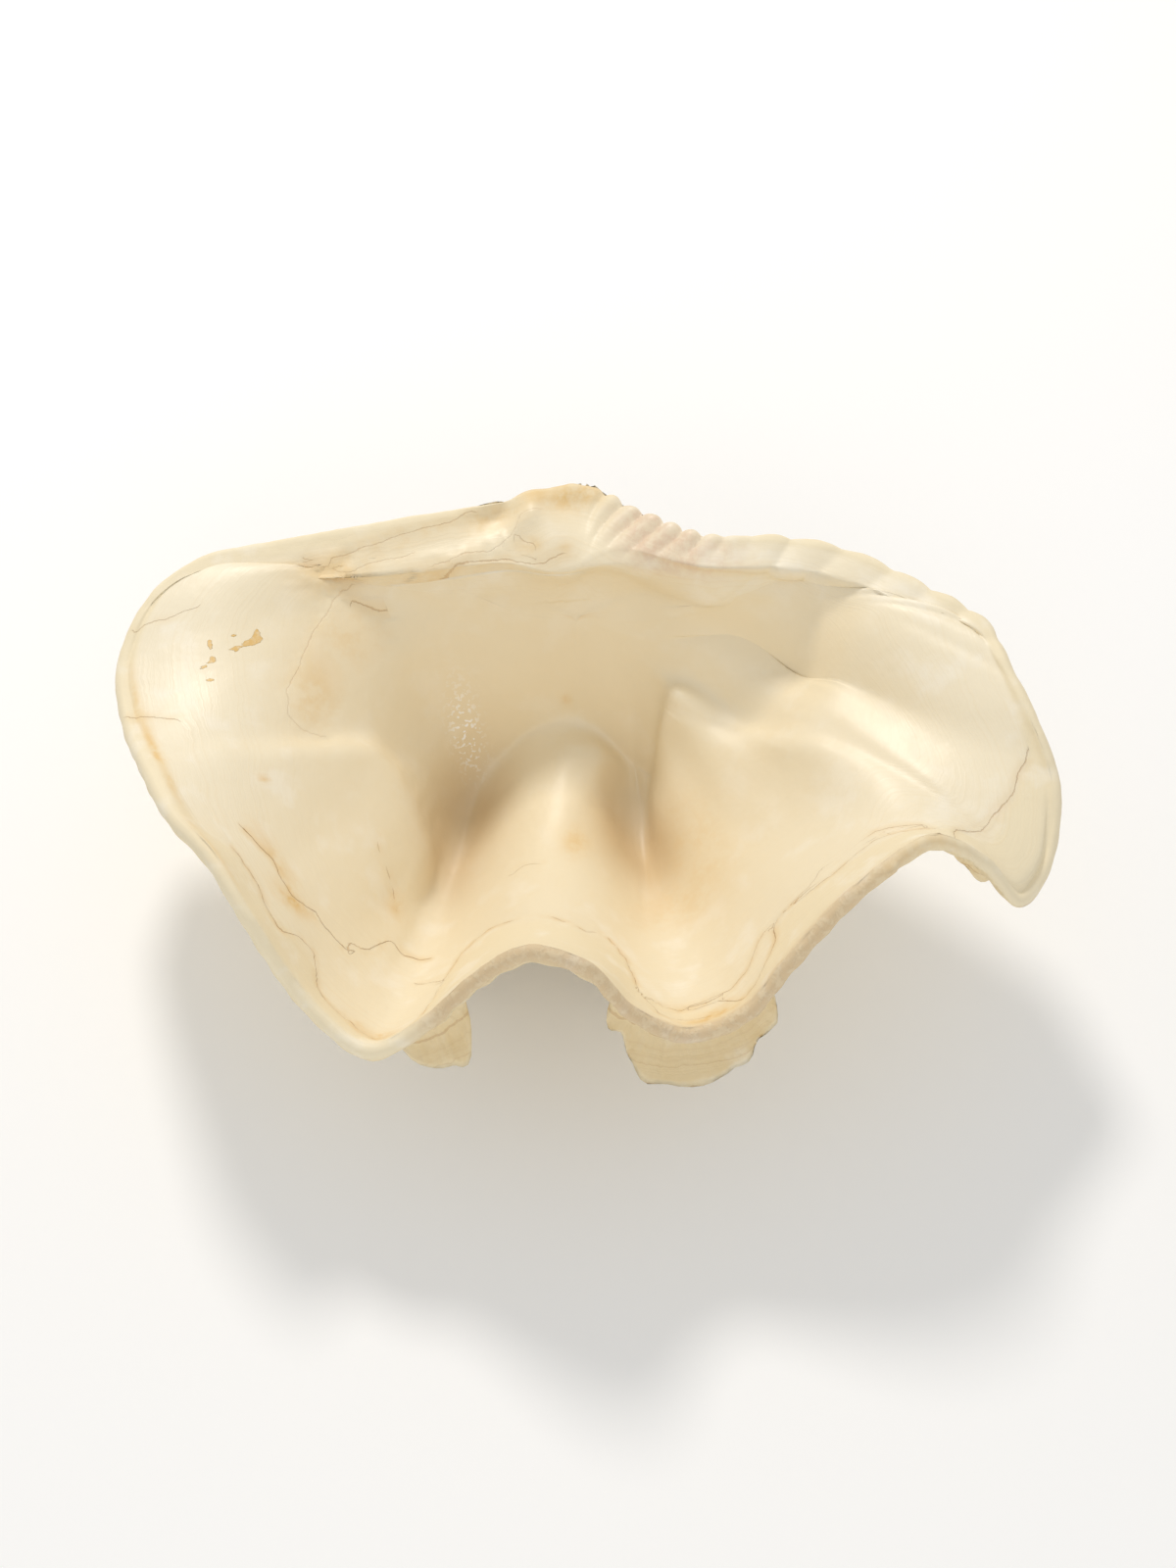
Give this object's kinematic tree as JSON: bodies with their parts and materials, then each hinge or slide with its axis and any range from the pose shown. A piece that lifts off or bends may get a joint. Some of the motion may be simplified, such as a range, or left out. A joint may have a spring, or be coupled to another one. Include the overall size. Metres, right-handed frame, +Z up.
{
  "type": "giant clam shell",
  "caption": "One valve of a fluted giant clam shell: a deep scalloped bowl with radiating ribs, leafy scutes and a hinge plate.",
  "frame": {"origin": "on the surface the valve rests on, under the middle of its outline", "axes": "+X along the hinge, towards the valve's fore end; +Y from the folded front margin to the hinge and beak; +Z up, out of the bowl"},
  "size_m": [0.3296, 0.2156, 0.1311],
  "materials": {
    "shell": "aragonite shell: glossy porcelain cream inside, chalky cream lips and outside"
  },
  "bodies": {
    "root": {"clam_valve": "shell"}
  },
  "joints": []
}
